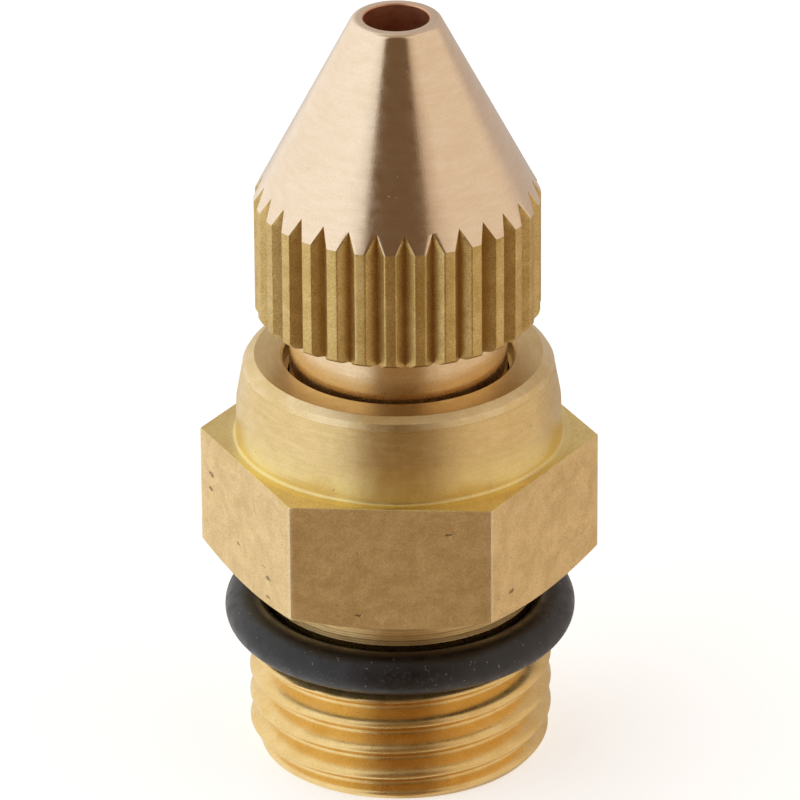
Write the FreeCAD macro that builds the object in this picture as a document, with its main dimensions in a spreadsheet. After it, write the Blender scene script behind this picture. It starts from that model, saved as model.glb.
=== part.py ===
import FreeCAD, Part
import os

import Sketcher

# Adjustable brass spray nozzle with a screwed tip, in millimetres.
# +Z runs along the axis from the inlet to the mouth. The origin is the centre of the inlet end face.
# The tip screws in the body on an M10 x 1 right-hand thread and is drawn partly unscrewed.

# Driving dimensions: alias, value, meaning.
DIMENSIONS = (
    # outside of the body, from the inlet up
    ("inlet_edge", 7.40, "radius of the inlet end face after its chamfer"),
    ("inlet_chamfer", 0.75, "height of the chamfer at the inlet end"),
    ("thread_crest", 7.97, "crest radius of the M16 x 1.5 male thread"),
    ("thread_root", 7.08, "root radius of the M16 x 1.5 male thread"),
    ("thread_pitch", 1.50, "pitch of the male thread"),
    ("thread_top", 6.50, "height where the male thread ends"),
    ("thread_start", -1.83, "height of the first thread groove's centre, on the +X side"),
    ("thread_run", 9.10, "height that the male thread's groove climbs"),
    ("root_flat", 0.10, "half the flat at the bottom of the male thread's groove"),
    ("mouth_half", 0.78, "half the width of that groove at its cutting radius"),
    ("cut_radius", 8.26, "cutting radius of the male thread's groove, outside its crest"),
    ("relief", 6.94, "radius of the relief that holds the face seal ring"),
    ("lip", 8.74, "height of the upper side of the relief"),
    ("neck", 7.14, "radius of the neck under the hexagon"),
    ("hex_base", 10.68, "height of the hexagon's underside"),
    ("hex_top", 17.78, "height of the hexagon's top face"),
    ("across_flats", 18.00, "hexagon across flats"),
    ("seat", 8.60, "outer radius of the flat underside of the hexagon"),
    ("chamfer_out", 12.00, "outer radius of the cut that bevels the hexagon's corners"),
    ("chamfer_rise", 1.20, "height that the corner bevel climbs on the way there"),
    ("collar_foot", 8.50, "collar radius at its foot"),
    ("collar_mid", 8.45, "collar radius at mid height"),
    ("collar_mid_up", 19.88, "height of that radius"),
    ("rim", 8.10, "collar radius under its rim"),
    ("rim_up", 21.78, "height of that radius"),
    ("land", 7.50, "outer radius of the flat land on top of the collar"),
    ("collar_top", 22.41, "height of the collar's land"),
    ("cove", 0.45, "radius of the cove between collar and hexagon"),
    ("rim_round", 0.20, "radius that rounds the rim"),
    # inside of the body
    ("inlet_bore", 5.90, "radius of the inlet bore"),
    ("inlet_lead", 0.30, "lead-in chamfer of the inlet bore"),
    ("clip_groove", 6.30, "radius of the groove for the inlet snap ring"),
    ("clip_low", 1.05, "height of that groove's lower side"),
    ("clip_high", 1.85, "height of that groove's upper side"),
    ("shoulder", 5.00, "height of the shoulder that the needle carrier rests against"),
    ("chamber", 5.50, "radius of the chamber under the female thread"),
    ("female_low", 10.30, "height where the M10 x 1 female thread starts"),
    ("female_high", 14.70, "height where the female thread ends"),
    ("female_crest", 4.46, "crest radius of the female thread"),
    ("female_lead", 5.15, "radius of the lead-in cones at both ends of the female thread"),
    ("lead_rise", 0.60, "height of those cones"),
    ("seal_bore", 5.75, "radius of the smooth bore that the seal ring runs in"),
    ("mouth_low", 21.40, "height of the step between the smooth bore and the mouth recess"),
    ("mouth_recess", 6.00, "radius of the recess around the tip's neck"),
    ("edge", 0.15, "small edge break"),
    ("over", 1.00, "distance that cutting outlines run past a face"),
    # M10 x 1 running thread: both grooves have 60 degree flanks
    ("screw_pitch", 1.00, "pitch of the running thread"),
    ("female_start", 9.75, "height of the first female groove's centre, on the +X side"),
    ("female_run", 5.50, "height that the female groove climbs"),
    ("female_root", 5.07, "root radius of the female thread"),
    ("female_root_half", 0.052, "half the flat at the bottom of the female groove"),
    ("female_mouth", 4.26, "cutting radius of the female groove, inside its crest"),
    ("female_mouth_half", 0.520, "half the width of the female groove there"),
    ("male_crest", 4.95, "crest radius of the tip's male thread"),
    ("male_root", 4.33, "root radius of the tip's male thread"),
    ("male_root_half", 0.111, "half the flat at the bottom of the male groove"),
    ("male_mouth", 5.02, "cutting radius of the male groove, outside its crest"),
    ("male_mouth_half", 0.509, "half the width of the male groove there"),
    ("male_start", 0.90, "height of the first male groove's centre, on the +X side of the tip"),
    ("male_run", 7.90, "height that the male groove climbs"),
    # face seal ring
    ("face_ring", 8.07, "radius of the face seal ring's centre line"),
    ("face_cord", 1.12, "section radius of the face seal ring"),
    ("face_up", 7.78, "height of the face seal ring"),
    # tip, in its own frame: zero at the lower end of its shank
    ("tip_gap", 2.59, "gap between the collar and the underside of the grip"),
    ("spigot", 4.20, "radius of the plain end of the shank, and of the thread's relief"),
    ("spigot_top", 1.70, "height where the male thread starts"),
    ("stop_groove", 3.85, "radius of the groove for the stop ring"),
    ("stop_low", 0.70, "height of that groove's lower side"),
    ("stop_high", 1.50, "height of that groove's upper side"),
    ("male_top", 8.30, "height where the male thread ends in its relief"),
    ("shank_shoulder", 9.30, "height of the shoulder between the relief and the neck"),
    ("tip_neck", 5.66, "radius of the tip's smooth neck"),
    ("seal_groove", 4.55, "radius of the groove for the shank's seal ring"),
    ("seal_low", 9.80, "height of that groove's lower side"),
    ("seal_high", 11.55, "height of that groove's upper side"),
    ("grip_low", 17.65, "height of the underside of the knurled grip"),
    ("grip", 7.42, "crest radius of the knurled grip"),
    ("grip_high", 24.05, "height where the grip meets the cone"),
    ("tip_top", 34.03, "height of the tip's mouth"),
    ("tip_land", 2.27, "outer radius of the land around the mouth"),
    ("land_round", 0.27, "radius that rounds the land's outer edge"),
    ("outlet", 1.70, "radius of the outlet bore"),
    ("insert_seat", 3.00, "radius of the bore that holds the orifice insert"),
    ("insert_stop", 22.30, "height of the step that the orifice insert is pressed against"),
    ("shank_bore", 3.30, "radius of the bore through the shank"),
    ("shank_bore_top", 17.30, "height where the shank's bore steps down"),
    ("knurls", 30, "number of knurl grooves, the first on the +X side"),
    ("knurl_root", 6.90, "radius at the bottom of the knurl grooves"),
    ("knurl_cut", 7.70, "cutting radius of the knurl grooves, outside the crest"),
    ("knurl_half", 0.80, "half the width of a knurl groove at its cutting radius"),
    # orifice insert
    ("insert_length", 3.50, "length of the orifice insert"),
    ("throat", 0.80, "radius of the throat"),
    ("throat_low", 2.20, "height where the entry cone meets the throat"),
    ("throat_high", 3.00, "height where the throat opens again"),
    ("insert_entry", 2.60, "radius of the entry cone"),
    ("insert_exit", 1.30, "radius of the exit cone"),
    # rings on the shank
    ("ring_slack", 0.03, "running clearance of the rings on the shank"),
    ("shank_ring", 5.15, "radius of the shank seal ring's centre line"),
    ("shank_cord", 0.57, "section radius of the shank seal ring"),
    ("backup_thick", 0.45, "thickness of the backup ring"),
    ("backup_turn", 357.0, "angle that the split backup ring covers"),
    ("stop_outer", 5.20, "outer radius of the stop ring"),
    ("stop_thick", 0.70, "thickness of the stop ring"),
    ("clip_turn", 300.0, "angle that an open retaining ring covers"),
    # needle and what holds it
    ("disc", 5.87, "outer radius of the discs and rings in the inlet bore"),
    ("carrier_low", 3.40, "height of the carrier's lower face"),
    ("carrier_thick", 1.60, "thickness of the carrier"),
    ("ports", 6, "number of ports in the carrier, and of slots in the swirl core"),
    ("port", 0.90, "radius of a port"),
    ("port_circle", 4.10, "radius of the circle that the ports lie on"),
    ("needle_low", 2.90, "height of the needle's slotted end"),
    ("needle_shank", 1.25, "radius of the needle's shank"),
    ("needle_step", 15.10, "height of the step that carries the swirl core, from the slotted end"),
    ("needle_stem", 1.00, "radius of the needle's stem above that step"),
    ("clip_seat", 19.12, "height of the lower side of the groove for the small clip"),
    ("clip_seat_top", 19.52, "height of the upper side of that groove"),
    ("clip_root", 0.80, "radius at the bottom of that groove"),
    ("cone_low", 22.93, "height where the needle's point begins"),
    ("cone_high", 25.40, "height of the needle's point"),
    ("point", 0.10, "radius of the small flat on the point"),
    ("slot_half", 0.22, "half the width of the screwdriver slot"),
    ("slot_deep", 0.60, "depth of the screwdriver slot"),
    ("washer", 2.90, "outer radius of the lock washer"),
    ("washer_thick", 0.40, "thickness of the lock washer"),
    ("nut_flats", 5.00, "lock nut across flats"),
    ("nut_thick", 2.00, "thickness of the lock nut"),
    ("nut_face", 2.35, "radius of the lock nut's flat faces inside their bevel"),
    ("nut_bevel", 0.30, "height of the lock nut's bevel"),
    ("hole_slack", 0.01, "slack of a hole around the needle"),
    ("core", 3.23, "radius of the swirl core"),
    ("core_long", 4.00, "length of the swirl core"),
    ("core_cut", 3.50, "distance from the axis where a slot's cut starts"),
    ("core_cut_deep", 1.20, "depth of that cut"),
    ("core_slot_half", 0.35, "half the width of a slot"),
    ("core_lean", 1.10, "sideways lean of a slot from the middle to an end"),
    ("small_clip", 1.90, "outer radius of the small clip"),
    ("small_clip_thick", 0.36, "thickness of the small clip"),
    # strainer in the inlet
    ("window", 4.70, "radius of the open window of the strainer"),
    ("frame_low", 2.36, "height of the strainer frame's lower face"),
    ("frame_thick", 1.04, "thickness of the strainer frame"),
    ("bar_half", 0.35, "half the width of the frame's cross bars"),
    ("bar_reach", 4.85, "distance from the axis to the ends of those bars, inside the ring"),
    ("bar_thick", 0.45, "thickness of those bars"),
    ("mesh_low", 2.20, "height of the mesh's lower face"),
    ("mesh_thick", 0.16, "thickness of the mesh"),
    ("mesh_pitch", 0.80, "distance between the mesh's holes"),
    ("mesh_hole", 0.26, "radius of a hole in the mesh"),
    ("clamp_low", 1.85, "height of the clamp ring's lower face"),
    ("clamp_thick", 0.35, "thickness of the clamp ring"),
    ("snap_low", 1.10, "height of the snap ring's lower face"),
    ("snap_thick", 0.70, "thickness of the snap ring"),
    ("snap_inner", 5.25, "inner radius of the snap ring"),
    ("snap_outer", 6.25, "outer radius of the snap ring"),
    ("lug", 0.85, "radius of the snap ring's lugs"),
    ("lug_circle", 5.00, "radius of the circle that the lugs lie on"),
    ("lug_hole", 0.40, "radius of the holes in the lugs"),
    ("lug_turn", 296.0, "angle from the first lug to the second"),
)

doc = FreeCAD.newDocument("nozzle")
sheet = doc.addObject("Spreadsheet::Sheet", "Sheet")
ALIASES = [row[0] for row in DIMENSIONS]


def fill_sheet():
    """Write each driving dimension into the sheet, with its alias and its meaning."""
    for number, (alias, size, meaning) in enumerate(DIMENSIONS, start=1):
        sheet.set(f"A{number}", alias)
        sheet.set(f"B{number}", str(size))
        sheet.set(f"C{number}", meaning)
        sheet.setAlias(f"B{number}", alias)
    doc.recompute()


def value(terms):
    """Value of a sum of cells and numbers written as words, such as 'hex_top + cove'."""
    total = 0.0
    sign = 1.0
    for word in terms.split():
        if word in ("+", "-"):
            sign = -1.0 if word == "-" else 1.0
            continue
        total += sign * float(sheet.get(word) if word in ALIASES else word)
        sign = 1.0
    return total


def formula(terms):
    """The same sum as an expression over the sheet."""
    return " ".join("Sheet." + word if word in ALIASES else word for word in terms.split())


def bind(item, prop, terms):
    """Tie a property to a sum of cells."""
    item.setExpression(prop, formula(terms))


def new_body(label, up="0"):
    """Empty body that stands at the height 'up'."""
    body = doc.addObject("PartDesign::Body", label)
    body.Label = label
    bind(body, ".Placement.Base.z", up)
    return body


def origin_item(body, role):
    """Origin plane or axis of a body, found by its role."""
    return [item for item in body.Origin.OriginFeatures if item.Role == role][0]


def new_sketch(body, name, role="XZ_Plane"):
    """Empty sketch on one of the body's origin planes; on XZ_Plane it reads as (radius, height)."""
    sketch = body.newObject("Sketcher::SketchObject", name)
    sketch.AttachmentSupport = [(origin_item(body, role), "")]
    sketch.MapMode = "FlatFace"
    return sketch


def pin(sketch, geometry, point, across, up):
    """Fix one sketch point at the sums (across, up)."""
    for kind, terms, axis in (("DistanceX", across, -2), ("DistanceY", up, -1)):
        if abs(value(terms)) < 1e-9:
            sketch.addConstraint(Sketcher.Constraint("PointOnObject", geometry, point, axis))
            continue
        number = sketch.addConstraint(Sketcher.Constraint(kind, -1, 1, geometry, point, value(terms)))
        bind(sketch, f"Constraints[{number}]", terms)


def outline(sketch, points):
    """Closed outline of straight edges; each corner is a pair of sums (across, up)."""
    corners = [FreeCAD.Vector(value(across), value(up), 0) for across, up in points]
    first = sketch.GeometryCount
    count = len(corners)
    for here, there in zip(corners, corners[1:] + corners[:1]):
        sketch.addGeometry(Part.LineSegment(here, there), False)
    for number, (across, up) in enumerate(points):
        following = (number + 1) % count
        sketch.addConstraint(Sketcher.Constraint("Coincident", first + number, 2, first + following, 1))
        pin(sketch, first + number, 1, across, up)


def circle(sketch, radius, across="0", up="0"):
    """Circle of a given radius about the point (across, up)."""
    centre = FreeCAD.Vector(value(across), value(up), 0)
    shape = Part.Circle(centre, FreeCAD.Vector(0, 0, 1), value(radius))
    number = sketch.addGeometry(shape, False)
    pin(sketch, number, 3, across, up)
    limit = sketch.addConstraint(Sketcher.Constraint("Radius", number, value(radius)))
    bind(sketch, f"Constraints[{limit}]", radius)


def hexagon(sketch, flats):
    """Regular hexagon about the origin, corners on +X and -X, sized across its flats."""
    radius = value(flats) / 3 ** 0.5
    ring = sketch.addGeometry(Part.Circle(FreeCAD.Vector(), FreeCAD.Vector(0, 0, 1), radius), True)
    sketch.addConstraint(Sketcher.Constraint("Coincident", ring, 3, -1, 1))
    limit = sketch.addConstraint(Sketcher.Constraint("Radius", ring, radius))
    sketch.setExpression(f"Constraints[{limit}]", f"Sheet.{flats} / sqrt(3)")
    turn = FreeCAD.Rotation(FreeCAD.Vector(0, 0, 1), 60)
    corners = [FreeCAD.Vector(radius, 0, 0)]
    for _ in range(5):
        corners.append(turn.multVec(corners[-1]))
    sides = [
        sketch.addGeometry(Part.LineSegment(here, there), False)
        for here, there in zip(corners, corners[1:] + corners[:1])
    ]
    for here, there in zip(sides, sides[1:] + sides[:1]):
        sketch.addConstraint(Sketcher.Constraint("Coincident", here, 2, there, 1))
    for side in sides:
        sketch.addConstraint(Sketcher.Constraint("PointOnObject", side, 1, ring))
    for side in sides[1:]:
        sketch.addConstraint(Sketcher.Constraint("Equal", sides[0], side))
    sketch.addConstraint(Sketcher.Constraint("PointOnObject", sides[0], 1, -1))


def turned(body, name, points, kind="Revolution", angle="360"):
    """Solid (Revolution) or cut (Groove) of an outline turned about the axis."""
    before = 0 if kind == "Revolution" else body.Shape.Volume
    sketch = new_sketch(body, name + "_outline")
    outline(sketch, points)
    return spin(body, name, sketch, kind, angle, before)


def spin(body, name, sketch, kind="Revolution", angle="360", before=0):
    """Turn a finished sketch about the body's axis."""
    feature = body.newObject("PartDesign::" + kind, name)
    feature.Profile = sketch
    feature.ReferenceAxis = (sketch, ["V_Axis"])
    bind(feature, "Angle", angle)
    doc.recompute()
    if kind == "Groove" and body.Shape.Volume >= before:
        raise RuntimeError(name + " removes nothing")
    return feature


def extrude(body, name, sketch, length, kind="Pad", upward=True):
    """Pad or Pocket of a sketch; a pocket cuts upward or downward."""
    before = body.Shape.Volume if kind == "Pocket" else 0
    feature = body.newObject("PartDesign::" + kind, name)
    feature.Profile = sketch
    feature.Type = 0
    bind(feature, "Length", length)
    feature.Reversed = upward if kind == "Pocket" else not upward
    doc.recompute()
    if kind == "Pocket" and body.Shape.Volume >= before:
        raise RuntimeError(name + " removes nothing")
    return feature


def around(body, name, feature, count):
    """Repeat a feature evenly around the axis."""
    pattern = body.newObject("PartDesign::PolarPattern", name)
    pattern.Originals = [feature]
    pattern.Axis = (origin_item(body, "Z_Axis"), [""])
    pattern.Angle = 360
    bind(pattern, "Occurrences", count)
    body.Tip = pattern
    doc.recompute()
    return pattern


def screw_cut(body, name, points, pitch, run):
    """Right-hand helical groove of the outline's section."""
    before = body.Shape.Volume
    sketch = new_sketch(body, name + "_outline")
    outline(sketch, points)
    feature = body.newObject("PartDesign::SubtractiveHelix", name)
    feature.Profile = sketch
    feature.ReferenceAxis = (sketch, ["V_Axis"])
    feature.Mode = 0
    bind(feature, "Pitch", pitch)
    bind(feature, "Height", run)
    doc.recompute()
    if body.Shape.Volume >= before:
        raise RuntimeError(name + " removes nothing")
    return feature


def round_edges(body, name, radius, spots):
    """Fillet the full circles whose (radius, height) is in spots."""
    base = body.Tip
    names = []
    for number, edge in enumerate(base.Shape.Edges, start=1):
        if not isinstance(edge.Curve, Part.Circle):
            continue
        for across, up in spots:
            near_radius = abs(edge.Curve.Radius - value(across)) < 1e-3
            near_height = abs(edge.Curve.Center.z - value(up)) < 1e-3
            if near_radius and near_height:
                names.append(f"Edge{number}")
    if not names:
        raise RuntimeError(name + " finds no edge")
    fillet = body.newObject("PartDesign::Fillet", name)
    fillet.Base = (base, names)
    bind(fillet, "Radius", radius)
    doc.recompute()
    return fillet


def ring_body(label, inner, outer, thick, up, angle="360"):
    """Flat ring, or an open one where the angle is under 360 degrees."""
    body = new_body(label, up)
    section = ((inner, "0"), (outer, "0"), (outer, thick), (inner, thick))
    turned(body, label + "_ring", section, angle=angle)
    return body


def seal_body(label, radius, cord, up):
    """O-ring: a round section turned about the axis."""
    body = new_body(label, up)
    sketch = new_sketch(body, label + "_section")
    circle(sketch, cord, across=radius)
    spin(body, label + "_ring", sketch)
    return body


# ---- body and its fixed pieces ----


def nozzle_body():
    """Hexagon body with the M16 x 1.5 inlet thread, a collar and a stepped bore."""
    body = new_body("nozzle_body")
    turned(body, "blank", (
        ("0", "0"),
        ("inlet_edge", "0"),
        ("thread_crest", "inlet_chamfer"),
        ("thread_crest", "thread_top - lead_rise"),
        ("thread_crest - lead_rise", "thread_top"),
        ("relief", "thread_top"),
        ("relief", "lip"),
        ("neck - edge", "lip"),
        ("neck", "lip + edge"),
        ("neck", "hex_base"),
        ("seat", "hex_base"),
        ("seat", "hex_top"),
        ("collar_foot", "hex_top"),
        ("collar_mid", "collar_mid_up"),
        ("rim", "rim_up"),
        ("land", "collar_top"),
        ("0", "collar_top"),
    ))
    hex_sketch = new_sketch(body, "hex_outline", "XY_Plane")
    bind(hex_sketch, ".AttachmentOffset.Base.z", "hex_base")
    hexagon(hex_sketch, "across_flats")
    extrude(body, "hex", hex_sketch, "hex_top - hex_base")
    turned(body, "corner_bevel", (
        ("seat", "hex_base"),
        ("chamfer_out", "hex_base + chamfer_rise"),
        ("chamfer_out", "hex_base - over"),
        ("seat", "hex_base - over"),
    ), "Groove")
    round_edges(body, "cove_round", "cove", (("collar_foot", "hex_top"),))
    round_edges(body, "rim_rounding", "rim_round", (("rim", "rim_up"), ("land", "collar_top")))
    turned(body, "bore", (
        ("0", "0 - over"),
        ("inlet_bore + inlet_lead", "0 - over"),
        ("inlet_bore + inlet_lead", "0"),
        ("inlet_bore", "inlet_lead"),
        ("inlet_bore", "clip_low"),
        ("clip_groove", "clip_low"),
        ("clip_groove", "clip_high"),
        ("inlet_bore", "clip_high"),
        ("inlet_bore", "shoulder"),
        ("chamber", "shoulder"),
        ("chamber", "female_low"),
        ("female_lead", "female_low"),
        ("female_crest", "female_low + lead_rise"),
        ("female_crest", "female_high - lead_rise"),
        ("female_lead", "female_high"),
        ("seal_bore", "female_high"),
        ("seal_bore", "mouth_low"),
        ("mouth_recess", "mouth_low"),
        ("mouth_recess", "collar_top - edge"),
        ("mouth_recess + edge", "collar_top"),
        ("mouth_recess + edge", "collar_top + over"),
        ("0", "collar_top + over"),
    ), "Groove")
    screw_cut(body, "inlet_thread", (
        ("thread_root", "thread_start - root_flat"),
        ("cut_radius", "thread_start - mouth_half"),
        ("cut_radius", "thread_start + mouth_half"),
        ("thread_root", "thread_start + root_flat"),
    ), "thread_pitch", "thread_run")
    screw_cut(body, "female_thread", (
        ("female_mouth", "female_start - female_mouth_half"),
        ("female_root", "female_start - female_root_half"),
        ("female_root", "female_start + female_root_half"),
        ("female_mouth", "female_start + female_mouth_half"),
    ), "screw_pitch", "female_run")
    return body


def face_seal_ring():
    """Rubber O-ring in the relief above the inlet thread."""
    return seal_body("face_seal_ring", "face_ring", "face_cord", "face_up")


def needle_carrier():
    """Disc on the body's shoulder that holds the needle, with ports around it."""
    body = new_body("needle_carrier", "carrier_low")
    turned(body, "carrier_disc", (
        ("needle_shank + hole_slack", "0"),
        ("disc - edge", "0"),
        ("disc", "edge"),
        ("disc", "carrier_thick - edge"),
        ("disc - edge", "carrier_thick"),
        ("needle_shank + hole_slack", "carrier_thick"),
    ))
    sketch = new_sketch(body, "port_outline", "XY_Plane")
    circle(sketch, "port", across="port_circle")
    pocket = extrude(body, "port_hole", sketch, "carrier_thick + over", "Pocket")
    around(body, "port_holes", pocket, "ports")
    return body


def metering_needle():
    """Turned needle with a slotted end, a step for the swirl core and a conical point."""
    body = new_body("metering_needle", "needle_low")
    turned(body, "needle", (
        ("0", "0"),
        ("needle_shank - edge", "0"),
        ("needle_shank", "edge"),
        ("needle_shank", "needle_step"),
        ("needle_stem", "needle_step"),
        ("needle_stem", "clip_seat"),
        ("clip_root", "clip_seat"),
        ("clip_root", "clip_seat_top"),
        ("needle_stem", "clip_seat_top"),
        ("needle_stem", "cone_low"),
        ("point", "cone_high"),
        ("0", "cone_high"),
    ))
    sketch = new_sketch(body, "slot_outline", "XY_Plane")
    outline(sketch, (
        ("0 - needle_shank - edge", "0 - slot_half"),
        ("needle_shank + edge", "0 - slot_half"),
        ("needle_shank + edge", "slot_half"),
        ("0 - needle_shank - edge", "slot_half"),
    ))
    extrude(body, "slot", sketch, "slot_deep", "Pocket")
    return body


def needle_lock_washer():
    """Plain washer between the carrier and the lock nut."""
    up = "carrier_low + carrier_thick"
    return ring_body("needle_lock_washer", "needle_shank + hole_slack", "washer", "washer_thick", up)


def needle_lock_nut():
    """Small hexagon nut that locks the needle in the carrier."""
    body = new_body("needle_lock_nut", "carrier_low + carrier_thick + washer_thick")
    sketch = new_sketch(body, "nut_outline", "XY_Plane")
    hexagon(sketch, "nut_flats")
    circle(sketch, "needle_shank + hole_slack")
    extrude(body, "nut", sketch, "nut_thick")
    turned(body, "nut_bevel_low", (
        ("nut_face", "0"),
        ("nut_flats", "nut_bevel + nut_bevel + nut_bevel"),
        ("nut_flats", "0 - over"),
        ("nut_face", "0 - over"),
    ), "Groove")
    turned(body, "nut_bevel_high", (
        ("nut_face", "nut_thick"),
        ("nut_flats", "nut_thick - nut_bevel - nut_bevel - nut_bevel"),
        ("nut_flats", "nut_thick + over"),
        ("nut_face", "nut_thick + over"),
    ), "Groove")
    return body


def swirl_core():
    """Cylinder with leaning slots that sets the fuel turning; it stands on the needle's step."""
    body = new_body("swirl_core", "needle_low + needle_step")
    turned(body, "core_blank", (
        ("needle_stem + hole_slack", "0"),
        ("core - edge", "0"),
        ("core", "edge"),
        ("core", "core_long - edge"),
        ("core - edge", "core_long"),
        ("needle_stem + hole_slack", "core_long"),
    ))
    sketch = new_sketch(body, "core_slot_outline")
    bind(sketch, ".AttachmentOffset.Base.z", "core_cut")
    outline(sketch, (
        ("0 - core_lean - core_slot_half", "0 - edge"),
        ("0 - core_lean + core_slot_half", "0 - edge"),
        ("core_lean + core_slot_half", "core_long + edge"),
        ("core_lean - core_slot_half", "core_long + edge"),
    ))
    pocket = extrude(body, "core_slot", sketch, "core_cut_deep", "Pocket", upward=False)
    around(body, "core_slots", pocket, "ports")
    return body


def swirl_core_clip():
    """Small open ring in the needle's groove that keeps the swirl core on its step."""
    up = "needle_low + clip_seat + hole_slack"
    inner = "clip_root + hole_slack"
    return ring_body("swirl_core_clip", inner, "small_clip", "small_clip_thick", up, "clip_turn")


def strainer_frame():
    """Ring with two crossed bars that backs the mesh."""
    body = ring_body("strainer_frame", "window", "disc", "frame_thick", "frame_low")
    for name, across, up in (("bar_x", "bar_reach", "bar_half"), ("bar_y", "bar_half", "bar_reach")):
        sketch = new_sketch(body, name + "_outline", "XY_Plane")
        outline(sketch, (
            ("0 - " + across, "0 - " + up),
            (across, "0 - " + up),
            (across, up),
            ("0 - " + across, up),
        ))
        extrude(body, name, sketch, "bar_thick")
    return body


def strainer_mesh():
    """Thin disc with a grid of fine holes."""
    body = new_body("strainer_mesh", "mesh_low")
    sketch = new_sketch(body, "mesh_outline", "XY_Plane")
    circle(sketch, "disc")
    extrude(body, "mesh_disc", sketch, "mesh_thick")
    holes = new_sketch(body, "mesh_holes_outline", "XY_Plane")
    pitch = value("mesh_pitch")
    reach = int(value("window") / pitch)
    for column in range(-reach, reach + 1):
        for row in range(-reach, reach + 1):
            spot = FreeCAD.Vector(column * pitch, row * pitch, 0)
            if spot.Length + value("mesh_hole") < value("window"):
                shape = Part.Circle(spot, FreeCAD.Vector(0, 0, 1), value("mesh_hole"))
                holes.addGeometry(shape, False)
    extrude(body, "mesh_holes", holes, "mesh_thick + over", "Pocket")
    return body


def strainer_clamp_ring():
    """Flat ring under the mesh."""
    return ring_body("strainer_clamp_ring", "window", "disc", "clamp_thick", "clamp_low")


def inlet_snap_ring():
    """Open ring with two drilled lugs in the inlet bore's groove."""
    body = ring_body("inlet_snap_ring", "snap_inner", "snap_outer", "snap_thick", "snap_low", "clip_turn")
    for name, angle in (("near", "clip_turn - lug_turn"), ("far", "lug_turn")):
        for kind, radius in (("Pad", "lug"), ("Pocket", "lug_hole")):
            sketch = new_sketch(body, f"{name}_{kind}_outline", "XY_Plane")
            sketch.AttachmentOffset = FreeCAD.Placement(
                FreeCAD.Vector(), FreeCAD.Rotation(FreeCAD.Vector(0, 0, 1), value(angle)))
            bind(sketch, ".AttachmentOffset.Rotation.Angle", angle)
            circle(sketch, radius, across="lug_circle")
            extrude(body, f"{name}_{kind}", sketch, "snap_thick", kind)
    return body


# Height of the tip's own frame, which starts at the lower end of its shank.
TIP_UP = "collar_top + tip_gap - grip_low"


# ---- rings that travel with the tip without turning ----


def shank_seal_ring():
    """Rubber O-ring around the tip's neck."""
    up = TIP_UP + " + seal_high - ring_slack - shank_cord"
    return seal_body("shank_seal_ring", "shank_ring", "shank_cord", up)


def shank_backup_ring():
    """Split plastic ring under the seal ring."""
    inner = "seal_groove + ring_slack"
    outer = "seal_bore - ring_slack"
    up = TIP_UP + " + seal_low + ring_slack"
    return ring_body("shank_backup_ring", inner, outer, "backup_thick", up, "backup_turn")


# ---- tip and the pieces that turn with it ----


def nozzle_tip():
    """Conical tip with a knurled grip, a smooth neck and a threaded shank."""
    body = new_body("nozzle_tip", TIP_UP)
    turned(body, "tip_blank", (
        ("shank_bore", "edge"),
        ("shank_bore + edge", "0"),
        ("spigot - edge", "0"),
        ("spigot", "edge"),
        ("spigot", "stop_low"),
        ("stop_groove", "stop_low"),
        ("stop_groove", "stop_high"),
        ("spigot", "stop_high"),
        ("spigot", "spigot_top"),
        ("male_crest", "spigot_top + lead_rise"),
        ("male_crest", "male_top - lead_rise"),
        ("spigot", "male_top"),
        ("spigot", "shank_shoulder"),
        ("tip_neck - edge", "shank_shoulder"),
        ("tip_neck", "shank_shoulder + edge"),
        ("tip_neck", "seal_low"),
        ("seal_groove", "seal_low"),
        ("seal_groove", "seal_high"),
        ("tip_neck", "seal_high"),
        ("tip_neck", "grip_low"),
        ("grip - edge", "grip_low"),
        ("grip", "grip_low + edge"),
        ("grip", "grip_high"),
        ("tip_land", "tip_top"),
        ("outlet", "tip_top"),
        ("outlet", "insert_stop"),
        ("insert_seat", "insert_stop"),
        ("insert_seat", "shank_bore_top"),
        ("shank_bore", "shank_bore_top"),
    ))
    round_edges(body, "land_rounding", "land_round", (("tip_land", "tip_top"),))
    sketch = new_sketch(body, "knurl_outline", "XY_Plane")
    outline(sketch, (
        ("knurl_root", "0"),
        ("knurl_cut", "0 - knurl_half"),
        ("knurl_cut", "knurl_half"),
    ))
    groove = extrude(body, "knurl", sketch, "tip_top", "Pocket")
    around(body, "knurling", groove, "knurls")
    screw_cut(body, "male_thread", (
        ("male_root", "male_start - male_root_half"),
        ("male_mouth", "male_start - male_mouth_half"),
        ("male_mouth", "male_start + male_mouth_half"),
        ("male_root", "male_start + male_root_half"),
    ), "screw_pitch", "male_run")
    return body


def orifice_insert():
    """Hard insert with a conical seat, a short throat and an exit cone."""
    body = new_body("orifice_insert", TIP_UP + " + insert_stop - insert_length")
    turned(body, "insert", (
        ("insert_entry", "0"),
        ("insert_seat - edge", "0"),
        ("insert_seat", "edge"),
        ("insert_seat", "insert_length"),
        ("insert_exit", "insert_length"),
        ("throat", "throat_high"),
        ("throat", "throat_low"),
    ))
    return body


def stop_ring():
    """Open ring at the end of the shank that keeps the tip from coming out."""
    up = TIP_UP + " + stop_low + hole_slack"
    inner = "stop_groove + hole_slack"
    return ring_body("stop_ring", inner, "stop_outer", "stop_thick", up, "clip_turn")


SUB_PARTS = (
    nozzle_body,
    face_seal_ring,
    needle_carrier,
    metering_needle,
    needle_lock_washer,
    needle_lock_nut,
    swirl_core,
    swirl_core_clip,
    strainer_frame,
    strainer_mesh,
    strainer_clamp_ring,
    inlet_snap_ring,
    shank_seal_ring,
    shank_backup_ring,
    nozzle_tip,
    orifice_insert,
    stop_ring,
)


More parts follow.
